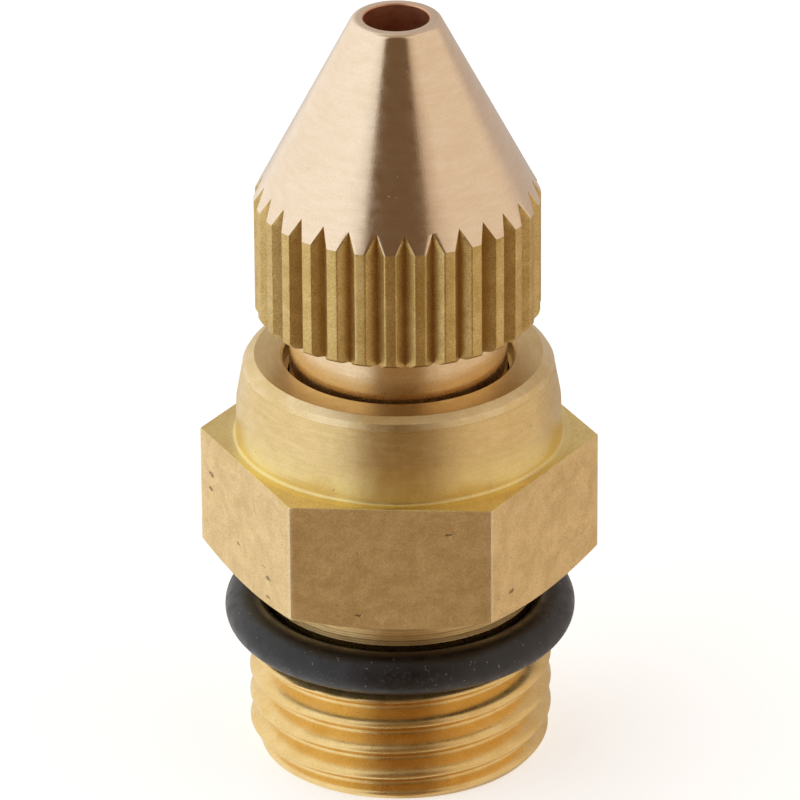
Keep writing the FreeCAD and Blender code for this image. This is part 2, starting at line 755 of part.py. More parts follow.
def check_document(bodies):
    """Stop when any object has failed or a sub-part isn't one valid solid."""
    for item in doc.Objects:
        if "Invalid" in item.State or "Error" in item.State:
            raise RuntimeError(item.Label + " has failed")
    for body in bodies:
        shape = body.Shape
        if shape.isNull() or not shape.isValid() or len(shape.Solids) != 1:
            raise RuntimeError(body.Label + " isn't one valid solid")


def main():
    fill_sheet()
    bodies = [make() for make in SUB_PARTS]
    doc.recompute()
    check_document(bodies)
    os.makedirs("parts", exist_ok=True)
    for body in bodies:
        body.Shape.exportStep(f"parts/{body.Label}.step")
        print(f"{body.Label}: {body.Shape.Volume:.2f} cubic mm")


main()
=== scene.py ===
import math

import bmesh
import bpy
import numpy as np
from mathutils import Matrix, Vector


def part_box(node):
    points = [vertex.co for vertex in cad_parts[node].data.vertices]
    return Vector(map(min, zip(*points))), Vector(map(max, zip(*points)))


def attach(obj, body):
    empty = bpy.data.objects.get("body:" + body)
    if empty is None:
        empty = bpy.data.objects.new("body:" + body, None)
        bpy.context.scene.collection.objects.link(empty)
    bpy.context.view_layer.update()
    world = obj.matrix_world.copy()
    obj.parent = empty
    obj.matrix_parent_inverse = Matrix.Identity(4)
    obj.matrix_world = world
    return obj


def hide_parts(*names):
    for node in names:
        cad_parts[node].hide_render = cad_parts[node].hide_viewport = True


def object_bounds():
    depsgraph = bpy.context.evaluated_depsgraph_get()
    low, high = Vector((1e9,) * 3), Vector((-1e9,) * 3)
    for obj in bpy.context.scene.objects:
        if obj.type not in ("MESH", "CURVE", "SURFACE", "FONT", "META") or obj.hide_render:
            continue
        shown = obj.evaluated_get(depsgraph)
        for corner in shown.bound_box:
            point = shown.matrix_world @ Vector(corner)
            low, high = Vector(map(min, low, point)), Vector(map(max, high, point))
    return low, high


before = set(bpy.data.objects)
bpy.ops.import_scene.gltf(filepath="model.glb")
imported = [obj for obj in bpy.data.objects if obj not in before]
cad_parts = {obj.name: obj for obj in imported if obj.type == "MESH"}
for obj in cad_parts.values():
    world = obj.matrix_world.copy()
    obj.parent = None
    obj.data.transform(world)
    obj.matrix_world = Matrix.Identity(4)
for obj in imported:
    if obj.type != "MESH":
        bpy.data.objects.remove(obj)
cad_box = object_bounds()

# Looks of a brass spray nozzle: a hexagon body with an O-ring, and a knurled conical tip.
# Sizes are in millimetres. Profiles are points (radius, height, rounding) turned about the Z axis.
MM = 0.001
WELD = 2e-6
TINY = 1e-9
ARC_SHARE = 0.45


def box_mm(node):
    """Lowest and highest corner of a CAD node, in millimetres."""
    low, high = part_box(node)
    return low / MM, high / MM


BODY_LOW, BODY_HIGH = box_mm("nozzle_body")
TIP_LOW, TIP_HIGH = box_mm("nozzle_tip")
RING_LOW, RING_HIGH = box_mm("face_seal_ring")


# ---- profiles and meshes ----


def soften(points, steps=4):
    """Profile whose corners (radius, height, rounding) are rounded by curves about that large."""
    path = []
    for number, (across, up, rounding) in enumerate(points):
        here = Vector((across, up))
        if rounding <= 0 or number in (0, len(points) - 1):
            path.append(here)
            continue
        back = Vector(points[number - 1][:2]) - here
        ahead = Vector(points[number + 1][:2]) - here
        half = back.angle(ahead) / 2
        reach = min(rounding / math.tan(half), ARC_SHARE * back.length, ARC_SHARE * ahead.length)
        start = here + back.normalized() * reach
        end = here + ahead.normalized() * reach
        for step in range(steps + 1):
            share = step / steps
            path.append(start.lerp(here, share).lerp(here.lerp(end, share), share))
    return [tuple(point) for point in path]


def turned_patch(path, angles, slot=0):
    """Patch (radius, angle, height, slot) of a profile turned through all angles."""
    across = np.array([point[0] for point in path])[:, None]
    up = np.array([point[1] for point in path])[:, None]
    ones = np.ones(len(angles))[None, :]
    around = np.repeat(np.array(angles)[None, :], len(path), 0)
    return across * ones, around, up * ones, slot


def between(height, low, high, low_radius, high_radius):
    """Radius of a cone between two heights, held constant outside them."""
    share = np.clip((height - low) / (high - low), 0, 1)
    return low_radius + (high_radius - low_radius) * share


def soft_lower(first, second, blend):
    """Smaller of two arrays, with a rounded transition."""
    return (first + second - np.sqrt((first - second) ** 2 + blend ** 2)) / 2


def soft_higher(first, second, blend):
    """Larger of two arrays, with a rounded transition."""
    return -soft_lower(-first, -second, blend)


def groove_offset(angles, heights, start, pitch):
    """Distance along the axis from the nearest turn of a right-hand helix."""
    centre = start + pitch * angles / math.tau
    return np.abs((heights - centre + pitch / 2) % pitch - pitch / 2)


def thread_patch(angles, low, high, pitch, radius_at, per_turn=24):
    """Threaded wall: its rows climb with the helix and are held between low and high."""
    rise = pitch * (angles - angles[0]) / math.tau
    levels = np.arange(low - pitch, high + pitch / per_turn, pitch / per_turn)
    heights = np.clip(levels[:, None] + rise[None, :], low, high)
    around = np.repeat(angles[None, :], len(levels), 0)
    return radius_at(around, heights), around, heights, 0


def build(name, patches, materials, sharp=32.0):
    """Mesh piece from patches whose shared borders are welded together."""
    points, faces, slots = [], [], []
    for radius, around, height, slot in patches:
        rows, columns = radius.shape
        first = len(points)
        flat = np.stack([radius * np.cos(around), radius * np.sin(around), height], -1)
        points.extend(map(tuple, flat.reshape(-1, 3) * MM))
        slot_grid = np.broadcast_to(np.asarray(slot), (rows - 1, columns - 1))
        for row in range(rows - 1):
            for column in range(columns - 1):
                corner = first + row * columns + column
                faces.append((corner, corner + 1, corner + columns + 1, corner + columns))
                slots.append(int(slot_grid[row, column]))
    mesh = bpy.data.meshes.new(name)
    mesh.from_pydata(points, [], faces)
    mesh.polygons.foreach_set("material_index", slots)
    shape = bmesh.new()
    shape.from_mesh(mesh)
    bmesh.ops.remove_doubles(shape, verts=shape.verts, dist=WELD)
    bmesh.ops.dissolve_degenerate(shape, edges=shape.edges, dist=WELD)
    bmesh.ops.recalc_face_normals(shape, faces=shape.faces)
    shape.to_mesh(mesh)
    shape.free()
    mesh.polygons.foreach_set("use_smooth", [True] * len(mesh.polygons))
    mesh.set_sharp_from_angle(angle=math.radians(sharp))
    for material in materials:
        mesh.materials.append(material)
    piece = bpy.data.objects.new(name, mesh)
    bpy.context.scene.collection.objects.link(piece)
    weighted = piece.modifiers.new("weighted_normals", "WEIGHTED_NORMAL")
    weighted.keep_sharp = True
    return piece


# ---- body ----

# Outside, from the inlet face up.
INLET_PITCH, INLET_START = 1.50, -1.83
INLET_CREST, INLET_ROOT = 7.97, 7.08
INLET_ROOT_HALF, INLET_FLANK = 0.10, 1.735
LEAD_UP, LEAD_IN = 0.75, 0.57
RUNOUT_UP, RUNOUT_IN = 0.60, 0.60
ROOT_BLEND, CREST_BLEND = 0.08, 0.26
GROOVE_LIFT, CREST_LIFT = 0.05, 0.03
THREAD_TOP = 6.50
RELIEF = 6.94
SHOULDER, SHOULDER_UP = 6.99, 8.74
NECK_LOW, NECK_FILLET = 8.89, 0.09
NECK_RADIUS, NECK_TAPER = 7.14, 0.15
NECK_RINGS = ((0.145, 0.0016), (0.31, 0.0030))
NECK_ROWS, NECK_CORNER = 90, 0.08
FLATS = BODY_HIGH.y - BODY_LOW.y
CORNER = FLATS / math.sqrt(3)
HEX_LOW, HEX_HIGH = 10.68, 17.78
SEAT, BEVEL_RIM, BEVEL_RISE = 8.60, 12.00, 1.20
BEVEL_SLOPE = BEVEL_RISE / (BEVEL_RIM - SEAT)
EDGE_CUT = 0.04
CORNER_CUT = math.radians(0.22)
COLLAR_START = 8.97
COLLAR_FOOT, COVE = 8.50, 0.45
WAIST, WAIST_UP, WAIST_ROUND = 8.45, 19.88, 2.0
COLLAR_TOP = BODY_HIGH.z
RIM, RIM_LOW = 8.12, COLLAR_TOP - 0.60
RIM_EDGE, RIM_EDGE_UP = 7.93, COLLAR_TOP - 0.28
RIM_INSIDE, RIM_ROUND = 7.50, 0.06
LINE_DEPTH, LINE_HIGH, LINE_LOW = 0.03, RIM_LOW - 0.04, RIM_LOW - 0.10

# Inside, from the mouth down.
MOUTH_RECESS, MOUTH_LOW, MOUTH_CHAMFER = 6.00, 21.40, 0.15
SEAL_BORE = 5.75
RUN_PITCH, RUN_FLANK, RUN_CHAMFER = 1.00, 1.73, 0.60
RUN_LOW, RUN_HIGH = 10.30, 14.70
RUN_BORE, RUN_GROOVE, RUN_MOUTH = 4.46, 5.07, 5.15
RUN_START, RUN_ROOT_HALF = 9.75, 0.052
CARRIER_BORE, CARRIER_LOW = 5.50, 5.00
STRAINER_BORE = 5.90
SNAP_GROOVE, SNAP_LOW, SNAP_HIGH = 6.30, 1.05, 1.85
INLET_CHAMFER = 0.30

# Roundings of small edges, and the sampling round the body.
LINE_ROUND, FINE_ROUND, EDGE_ROUND, STEP_ROUND, TOP_ROUND = 0.02, 0.03, 0.04, 0.05, 0.07
BODY_STEP = 1.0
SIXTH = math.radians(60)

# Where the painted reflection lies, a yellower band where the brass faces mirror each other: from the
# hexagon's top up the collar's foot, in metres.
FOOT_LOW, FOOT_HIGH = (HEX_HIGH - 0.05) * MM, (HEX_HIGH + 2.6) * MM
THREAD_SLOT, HEX_SLOT, TURNED_SLOT, NECK_BAND_SLOT = 0, 1, 2, 3


def body_angles():
    """Angles round the body, with extra ones beside the hexagon's corners."""
    angles = set(np.radians(np.arange(0, 361, BODY_STEP)))
    for corner in np.radians(np.arange(0, 361, 60.0)):
        angles.update((corner - CORNER_CUT, corner + CORNER_CUT))
    return np.array(sorted(angle for angle in angles if -TINY <= angle <= math.tau + TINY))


def hex_radius(angles):
    """Distance from the axis to the hexagon's side, a little cut back at its corners."""
    lean = (angles % SIXTH) - SIXTH / 2
    plain = FLATS / 2 / np.cos(lean)
    return np.minimum(plain, FLATS / 2 / math.cos(SIXTH / 2 - CORNER_CUT))


def hex_patch(angles):
    """Bevelled underside, flat sides and top edge of the hexagon."""
    side = hex_radius(angles)
    bevel_end = HEX_LOW + (side - SEAT) * BEVEL_SLOPE
    ones = np.ones_like(side)
    rows = (
        (SEAT * ones, HEX_LOW * ones),
        (side - EDGE_CUT, bevel_end - EDGE_CUT * BEVEL_SLOPE),
        (side, bevel_end + EDGE_CUT),
        (side, (HEX_HIGH - EDGE_CUT) * ones),
        (side - EDGE_CUT, HEX_HIGH * ones),
        (COLLAR_START * ones, HEX_HIGH * ones),
    )
    radius = np.array([row[0] for row in rows])
    height = np.array([row[1] for row in rows])
    return radius, np.repeat(angles[None, :], len(rows), 0), height, HEX_SLOT


def inlet_thread_radius(angles, heights):
    """M16 x 1.5 wall, chamfered at both ends, with rounded crests and roots."""
    lead = between(heights, 0, LEAD_UP, INLET_CREST - LEAD_IN, INLET_CREST)
    runout = between(heights, THREAD_TOP - RUNOUT_UP, THREAD_TOP, INLET_CREST, INLET_CREST - RUNOUT_IN)
    away = groove_offset(angles, heights, INLET_START, INLET_PITCH)
    flank = INLET_ROOT + (away - INLET_ROOT_HALF) * INLET_FLANK
    groove = soft_higher(flank, np.full_like(away, INLET_ROOT), ROOT_BLEND)
    return soft_lower(groove + GROOVE_LIFT, np.minimum(lead, runout) + CREST_LIFT, CREST_BLEND)


def female_thread_radius(angles, heights):
    """M10 x 1 wall of the body, with lead-in cones at both ends."""
    low = between(heights, RUN_LOW, RUN_LOW + RUN_CHAMFER, RUN_MOUTH, RUN_BORE)
    high = between(heights, RUN_HIGH - RUN_CHAMFER, RUN_HIGH, RUN_BORE, RUN_MOUTH)
    away = groove_offset(angles, heights, RUN_START, RUN_PITCH)
    groove = RUN_GROOVE - np.maximum(away - RUN_ROOT_HALF, 0) * RUN_FLANK
    return np.maximum(np.maximum(low, high), groove)


def neck_radius(up):
    """Radius of the neck under the hexagon, which narrows upwards and has faint turned rings."""
    rings = sum(depth * (math.cos(math.tau * (up - NECK_LOW) / pitch) - 1) for pitch, depth in NECK_RINGS)
    return NECK_RADIUS - NECK_TAPER * (up - NECK_LOW) / (HEX_LOW - NECK_LOW) + rings


def nozzle_body(materials):
    """Whole body: inlet thread, neck, hexagon, collar and stepped bore."""
    angles = body_angles()
    thread_high = inlet_thread_radius(angles, np.full_like(angles, THREAD_TOP))
    thread_low = inlet_thread_radius(angles, np.zeros_like(angles))
    run_high = female_thread_radius(angles, np.full_like(angles, RUN_HIGH))
    run_low = female_thread_radius(angles, np.full_like(angles, RUN_LOW))
    relief = soften((
        (RELIEF, THREAD_TOP, 0),
        (RELIEF, SHOULDER_UP, STEP_ROUND),
        (SHOULDER, SHOULDER_UP, FINE_ROUND),
        (NECK_RADIUS, NECK_LOW, 0)))
    neck = [(neck_radius(up), up) for up in np.linspace(NECK_LOW, HEX_LOW - NECK_FILLET, NECK_ROWS)]
    seat = soften(((*neck[-1], 0), (NECK_RADIUS, HEX_LOW, NECK_CORNER), (SEAT, HEX_LOW, 0)))
    collar = soften((
        (COLLAR_START, HEX_HIGH, 0),
        (COLLAR_FOOT, HEX_HIGH, COVE),
        (WAIST, WAIST_UP, WAIST_ROUND),
        (RIM, LINE_LOW, LINE_ROUND),
        (RIM - LINE_DEPTH, LINE_HIGH, LINE_ROUND),
        (RIM, RIM_LOW, LINE_ROUND),
        (RIM_EDGE, RIM_EDGE_UP, RIM_ROUND),
        (RIM_INSIDE, COLLAR_TOP, TOP_ROUND),
        (MOUTH_RECESS + MOUTH_CHAMFER, COLLAR_TOP, EDGE_ROUND),
        (MOUTH_RECESS, COLLAR_TOP - MOUTH_CHAMFER, EDGE_ROUND),
        (MOUTH_RECESS, MOUTH_LOW, STEP_ROUND),
        (SEAL_BORE, MOUTH_LOW, STEP_ROUND),
        (SEAL_BORE, RUN_HIGH, FINE_ROUND),
        (RUN_MOUTH, RUN_HIGH, 0)), 6)
    inlet = soften((
        (CARRIER_BORE, RUN_LOW, 0),
        (CARRIER_BORE, CARRIER_LOW, FINE_ROUND),
        (STRAINER_BORE, CARRIER_LOW, FINE_ROUND),
        (STRAINER_BORE, SNAP_HIGH, FINE_ROUND),
        (SNAP_GROOVE, SNAP_HIGH, FINE_ROUND),
        (SNAP_GROOVE, SNAP_LOW, FINE_ROUND),
        (STRAINER_BORE, SNAP_LOW, FINE_ROUND),
        (STRAINER_BORE, INLET_CHAMFER, STEP_ROUND),
        (STRAINER_BORE + INLET_CHAMFER, 0.0, 0)))
    patches = [
        thread_patch(angles, 0.0, THREAD_TOP, INLET_PITCH, inlet_thread_radius),
        ring_step(angles, thread_high, THREAD_TOP, RELIEF),
        turned_patch(relief, angles, THREAD_SLOT),
        turned_patch(neck, angles, NECK_BAND_SLOT),
        turned_patch(seat, angles, TURNED_SLOT),
        hex_patch(angles),
        turned_patch(collar, angles, TURNED_SLOT),
        ring_step(angles, run_high, RUN_HIGH, RUN_MOUTH),
        thread_patch(angles, RUN_LOW, RUN_HIGH, RUN_PITCH, female_thread_radius),
        ring_step(angles, run_low, RUN_LOW, CARRIER_BORE),
        turned_patch(inlet, angles),
        ring_step(angles, thread_low, 0.0, STRAINER_BORE + INLET_CHAMFER),
    ]
    return build("body_shell", patches, materials)


def ring_step(angles, radii, up, to_radius):
    """Flat step from an uneven ring to a round one."""
    radius = np.array([radii, np.full_like(radii, to_radius)])
    height = np.full_like(radius, up)
    return radius, np.repeat(angles[None, :], 2, 0), height, 0


# ---- tip ----

TIP_UP, TIP_TOP = TIP_LOW.z, TIP_HIGH.z

# Outside, from the shank's end up.
SPIGOT, SPIGOT_CHAMFER = 4.20, 0.15
STOP_GROOVE, STOP_LOW, STOP_HIGH = 3.85, TIP_UP + 0.70, TIP_UP + 1.50
SHANK_LOW, SHANK_HIGH = TIP_UP + 1.70, TIP_UP + 8.30
SHANK_CREST, SHANK_ROOT = 4.95, 4.33
SHANK_START, SHANK_ROOT_HALF = TIP_UP + 0.90, 0.111
NECK, NECK_UP, NECK_CHAMFER = 5.66, TIP_UP + 9.30, 0.15
SEAL_GROOVE, SEAL_LOW, SEAL_HIGH = 4.55, TIP_UP + 9.80, TIP_UP + 11.55
GRIP = TIP_HIGH.x
GRIP_LOW, GRIP_HIGH = TIP_UP + 17.65, TIP_UP + 24.05
GRIP_FOOT = ((0.22, 0.0), (0.16, 0.03), (0.03, 0.17), (0.0, 0.25))
LAND, LAND_ROUND = 2.27, 0.40

# Knurls: their number, the roots' radius, half width for each unit of depth, and the broken edges.
KNURLS = 30
KNURL_ROOT = 6.90
KNURL_SPREAD = 1.0
KNURL_EDGE, KNURL_EDGE_SHARE, KNURL_EDGE_DROP = 0.045, 0.3, 0.25
FLANK_SHARES = (0.0, 0.07, 0.93, 1.0)
SPIKE_SHARES = (0.0, 0.03, 0.25, 0.5, 0.75, 0.9, 1.0)
LAND_STEPS = 7

# Inside, from the outlet down.
OUTLET, OUTLET_CHAMFER, OUTLET_DEPTH = 1.70, 0.05, 0.06
INSERT_BORE, INSERT_LOW, INSERT_HIGH = 3.00, TIP_UP + 17.30, TIP_UP + 22.30
NEEDLE_BORE = 3.30
CONE_SLOT, GRIP_SLOT, NECK_SLOT, BORE_SLOT = 0, 1, 2, 3


def knurl_row(surface):
    """Angles, radii and flank marks of one row round the grip, whose lands have the radius surface.

    The flank's edge is where a line from the root, at the knurl's spread, meets that radius."""
    pitch = math.tau / KNURLS
    root = min(KNURL_ROOT, surface)
    spread = KNURL_SPREAD ** 2
    inner = spread ** 2 * root ** 2 - (1 + spread) * (spread * root ** 2 - surface ** 2)
    edge = (spread * root + math.sqrt(inner)) / (1 + spread)
    depth = edge - root if surface > KNURL_ROOT else 0.0
    flank = []
    for share in FLANK_SHARES:
        along = root + depth * share
        aside = KNURL_SPREAD * depth * share
        flank.append((math.atan2(aside, along), math.hypot(along, aside)))
    cut = min(KNURL_EDGE, depth * KNURL_EDGE_SHARE)
    edge_angle, edge_radius = flank[-1]
    flank[-1] = (edge_angle, edge_radius - cut * KNURL_EDGE_DROP)
    land_start = edge_angle + cut / surface
    lands = [(angle, surface) for angle in np.linspace(land_start, pitch - land_start, LAND_STEPS)]
    sector = flank + lands + [(pitch - angle, radius) for angle, radius in reversed(flank[1:])]
    marks = [1] * (len(flank) - 1) + [0] * (len(lands) + 1) + [1] * (len(flank) - 1)
    angles, radii, flags = [], [], []
    for knurl in range(KNURLS):
        start = knurl * pitch
        angles += [start + angle for angle, radius in sector]
        radii += [radius for angle, radius in sector]
        flags += marks
    return angles + [math.tau], radii + [sector[0][1]], flags


def grip_patch(path, land_slot, flank_slot):
    """Patch of a profile that the knurl grooves cut into."""
    rows = [knurl_row(across) for across, up in path]
    angles = np.array([row[0] for row in rows])
    radii = np.array([row[1] for row in rows])
    heights = np.repeat(np.array([up for across, up in path])[:, None], angles.shape[1], 1)
    slots = np.where(np.array(rows[0][2]) > 0, flank_slot, land_slot)[None, :]
    return radii, angles, heights, np.repeat(slots, len(path) - 1, 0)


def male_thread_radius(angles, heights):
    """M10 x 1 wall of the tip's shank, chamfered at both ends."""
    low = between(heights, SHANK_LOW, SHANK_LOW + RUN_CHAMFER, SPIGOT, SHANK_CREST)
    high = between(heights, SHANK_HIGH - RUN_CHAMFER, SHANK_HIGH, SHANK_CREST, SPIGOT)
    away = groove_offset(angles, heights, SHANK_START, RUN_PITCH)
    groove = SHANK_ROOT + np.maximum(away - SHANK_ROOT_HALF, 0) * RUN_FLANK
    return np.minimum(np.minimum(low, high), groove)


def nozzle_tip(materials):
    """Whole tip: mouth, cone, knurled grip, neck and threaded shank."""
    angles = np.array(knurl_row(1.0)[0])
    slope = (GRIP - LAND) / (TIP_TOP - GRIP_HIGH)
    depth = GRIP - KNURL_ROOT
    spike_top = GRIP_HIGH + depth / slope
    spike = [
        (GRIP - depth * share, GRIP_HIGH + (spike_top - GRIP_HIGH) * share)
        for share in SPIKE_SHARES]
    foot = [(GRIP - inwards, GRIP_LOW + up) for inwards, up in GRIP_FOOT]
    grip = [(NECK, GRIP_LOW), (KNURL_ROOT, GRIP_LOW), *foot, (GRIP, GRIP_HIGH)]
    cone = soften((
        (KNURL_ROOT, spike_top, 0),
        (LAND, TIP_TOP, LAND_ROUND),
        (OUTLET + OUTLET_CHAMFER, TIP_TOP, 0)), 8)
    bore = soften((
        (OUTLET + OUTLET_CHAMFER, TIP_TOP, 0),
        (OUTLET, TIP_TOP - OUTLET_DEPTH, FINE_ROUND),
        (OUTLET, INSERT_HIGH, 0),
        (INSERT_BORE, INSERT_HIGH, 0),
        (INSERT_BORE, INSERT_LOW, FINE_ROUND),
        (NEEDLE_BORE, INSERT_LOW, FINE_ROUND),
        (NEEDLE_BORE, TIP_UP + SPIGOT_CHAMFER, FINE_ROUND),
        (NEEDLE_BORE + SPIGOT_CHAMFER, TIP_UP, FINE_ROUND),
        (SPIGOT - SPIGOT_CHAMFER, TIP_UP, FINE_ROUND),
        (SPIGOT, TIP_UP + SPIGOT_CHAMFER, FINE_ROUND),
        (SPIGOT, STOP_LOW, LINE_ROUND),
        (STOP_GROOVE, STOP_LOW, LINE_ROUND),
        (STOP_GROOVE, STOP_HIGH, LINE_ROUND),
        (SPIGOT, STOP_HIGH, LINE_ROUND),
        (SPIGOT, SHANK_LOW, 0)), 6)
    neck = soften((
        (SPIGOT, SHANK_HIGH, 0),
        (SPIGOT, NECK_UP, FINE_ROUND),
        (NECK - NECK_CHAMFER, NECK_UP, FINE_ROUND),
        (NECK, NECK_UP + NECK_CHAMFER, FINE_ROUND),
        (NECK, SEAL_LOW, FINE_ROUND),
        (SEAL_GROOVE, SEAL_LOW, FINE_ROUND),
        (SEAL_GROOVE, SEAL_HIGH, FINE_ROUND),
        (NECK, SEAL_HIGH, FINE_ROUND),
        (NECK, GRIP_LOW, 0)))
    patches = [
        thread_patch(angles, SHANK_LOW, SHANK_HIGH, RUN_PITCH, male_thread_radius),
        turned_patch(neck, angles, NECK_SLOT),
        grip_patch(grip, GRIP_SLOT, GRIP_SLOT),
        grip_patch(spike, CONE_SLOT, GRIP_SLOT),
        turned_patch(cone, angles, CONE_SLOT),
        turned_patch(bore, angles, BORE_SLOT),
    ]
    return build("tip_shell", patches, materials)


# ---- face seal ring ----

# Steps round the cord and round the ring, in degrees.
CORD_STEP, RING_STEP = 6.0, 1.5


def face_ring(materials):
    """Plain O-ring of the size of its CAD node."""
    cord = (RING_HIGH.z - RING_LOW.z) / 2
    centre = RING_HIGH.x - cord
    middle = (RING_HIGH.z + RING_LOW.z) / 2
    path = [
        (centre + cord * math.cos(angle), middle + cord * math.sin(angle))
        for angle in np.radians(np.arange(0, 361, CORD_STEP))]
    angles = np.radians(np.arange(0, 361, RING_STEP))
    return build("face_ring_rubber", [turned_patch(path, angles)], materials, 60.0)


# ---- materials ----

# Noise scales are per metre and bump depths are in metres.
MICRON = 1e-6
RING_LEAN, RING_SPREAD = 0.6, 0.03
NICK_SCALE, NICK_SHORT, NICK_EDGE, NICK_RAGGED = 620.0, 2.4, (0.30, 0.36), 0.34
BLOTCH, STREAK, FLECK, FINE, PIT, MOTTLE = 620.0, 5200.0, 12500.0, 9000.0, 5200.0, 1500.0
RING_GRAIN, DRAWN_GRAIN, DRAWN_LONG = 6500.0, 5200.0, 0.12
# Scales of the patches in the painted reflection at the collar's foot and in the painted highlight on the
# rim.
PATCHY, RIM_HIGHLIGHT_GRAIN = 230.0, 1500.0
# Colour of the painted reflection on the hexagon's top and the collar's foot.
FOOT_REFLECTION_COLOUR = (1.00, 0.83, 0.34, 1.0)
# Colour of the painted shade in the knurls' roots.
GROOVE_SHADE_COLOUR = (0.50, 0.28, 0.09, 1.0)
# Colour of the hexagon's corners, partly wear and partly painted highlight.
WORN_HIGHLIGHT_COLOUR = (1.0, 0.88, 0.62, 1.0)
# Colour of the painted highlight on the collar's rim.
RIM_HIGHLIGHT_COLOUR = (1.0, 0.86, 0.60, 1.0)
PIT_DARK = (0.24, 0.13, 0.05, 1.0)
NICK_DARK = (0.17, 0.085, 0.03, 1.0)


class Graph:
    """Short way to write a material's nodes."""

    def __init__(self, name):
        self.material = bpy.data.materials.new(name)
        self.material.use_nodes = True
        self.tree = self.material.node_tree
        self.tree.nodes.clear()
        self.output = self.add("ShaderNodeOutputMaterial")
        self.shader = self.add("ShaderNodeBsdfPrincipled")
        self.link(self.shader.outputs[0], self.output.inputs["Surface"])
        self.place = self.add("ShaderNodeTexCoord").outputs["Object"]

    def add(self, kind, **values):
        node = self.tree.nodes.new(kind)
        for key, value in values.items():
            setattr(node, key, value)
        return node

    def link(self, source, target):
        self.tree.links.new(source, target)

    def feed(self, socket, value):
        """Link a node's output to a socket, or set the socket to a plain value."""
        if isinstance(value, bpy.types.NodeSocket):
            self.link(value, socket)
        else:
            socket.default_value = value

    def math(self, operation, first, second=0.0):
        node = self.add("ShaderNodeMath", operation=operation)
        self.feed(node.inputs[0], first)
        self.feed(node.inputs[1], second)
        return node.outputs[0]

    def stretch(self, vector, scale):
        """Vector scaled along each axis."""
        node = self.add("ShaderNodeMapping")
        self.link(vector, node.inputs["Vector"])
        node.inputs["Scale"].default_value = scale
        return node.outputs[0]

    def noise(self, vector, scale, detail=3.0, roughness=0.55, distortion=0.0):
        node = self.add("ShaderNodeTexNoise")
        self.link(vector, node.inputs["Vector"])
        node.inputs["Scale"].default_value = scale
        node.inputs["Detail"].default_value = detail
        node.inputs["Roughness"].default_value = roughness
        node.inputs["Distortion"].default_value = distortion
        return node.outputs[0]

    def times(self, *factors):
        """Product of two or more values."""
        product = factors[0]
        for factor in factors[1:]:
            product = self.math("MULTIPLY", product, factor)
        return product

    def nicks(self, share):
        """A few ragged nicks: 1 in a nick, 0 elsewhere; share of the cells have one."""
        node = self.add("ShaderNodeTexVoronoi")
        self.link(self.stretch(self.place, (1.0, 1.0, NICK_SHORT)), node.inputs["Vector"])
        node.inputs["Scale"].default_value = NICK_SCALE
        split = self.add("ShaderNodeSeparateColor")
        self.link(node.outputs["Color"], split.inputs[0])
        ragged = self.times(self.noise(self.place, STREAK, 2.0), NICK_RAGGED)
        near = self.remap(self.math("ADD", node.outputs["Distance"], ragged), *NICK_EDGE, 1.0, 0.0)
        chosen = self.math("GREATER_THAN", split.outputs[0], 1.0 - share)
        return self.times(near, chosen)

    def across(self):
        """Distance from the Z axis."""
        split = self.add("ShaderNodeSeparateXYZ")
        self.link(self.place, split.inputs[0])
        squares = [self.math("MULTIPLY", split.outputs[axis], split.outputs[axis]) for axis in (0, 1)]
        return self.math("SQRT", self.math("ADD", *squares))

    def height(self):
        """Height above the floor."""
        split = self.add("ShaderNodeSeparateXYZ")
        self.link(self.place, split.inputs[0])
        return split.outputs[2]

    def remap(self, value, low, high, to_low=0.0, to_high=1.0):
        node = self.add("ShaderNodeMapRange")
        node.interpolation_type = "SMOOTHSTEP"
        self.link(value, node.inputs["Value"])
        for name, number in (("From Min", low), ("From Max", high), ("To Min", to_low), ("To Max", to_high)):
            node.inputs[name].default_value = number
        return node.outputs[0]

    def mix(self, factor, first, second, blend="MIX"):
        node = self.add("ShaderNodeMix", data_type="RGBA", blend_type=blend)
        self.feed(node.inputs["Factor"], factor)
        self.feed(node.inputs[6], first)
        self.feed(node.inputs[7], second)
        return node.outputs[2]

    def bump(self, height, strength, distance, before=None):
        node = self.add("ShaderNodeBump")
        self.link(height, node.inputs["Height"])
        node.inputs["Strength"].default_value = strength
        node.inputs["Distance"].default_value = distance
        if before is not None:
            self.link(before, node.inputs["Normal"])
        return node.outputs[0]

    def turning(self):
        """Vector that makes noise into rings about the Z axis, on walls, cones and flats."""
        split = self.add("ShaderNodeSeparateXYZ")
        self.link(self.place, split.inputs[0])
        along = self.math("ADD", split.outputs[2], self.times(self.across(), RING_LEAN))
        join = self.add("ShaderNodeCombineXYZ")
        self.link(self.times(split.outputs[0], RING_SPREAD), join.inputs[0])
        self.link(self.times(split.outputs[1], RING_SPREAD), join.inputs[1])
        self.link(along, join.inputs[2])
        return join.outputs[0]

    def pits(self, scale, cover):
        """Irregular small pits: 1 in a pit, 0 elsewhere."""
        return self.remap(self.noise(self.place, scale, 2.0, 0.5), cover, cover + 0.04)

    def rounds(self, spread=0.12):
        """Vector that makes noise into short arcs that run round the Z axis."""
        shorter = spread / RING_SPREAD
        return self.stretch(self.turning(), (shorter, shorter, 1.0))


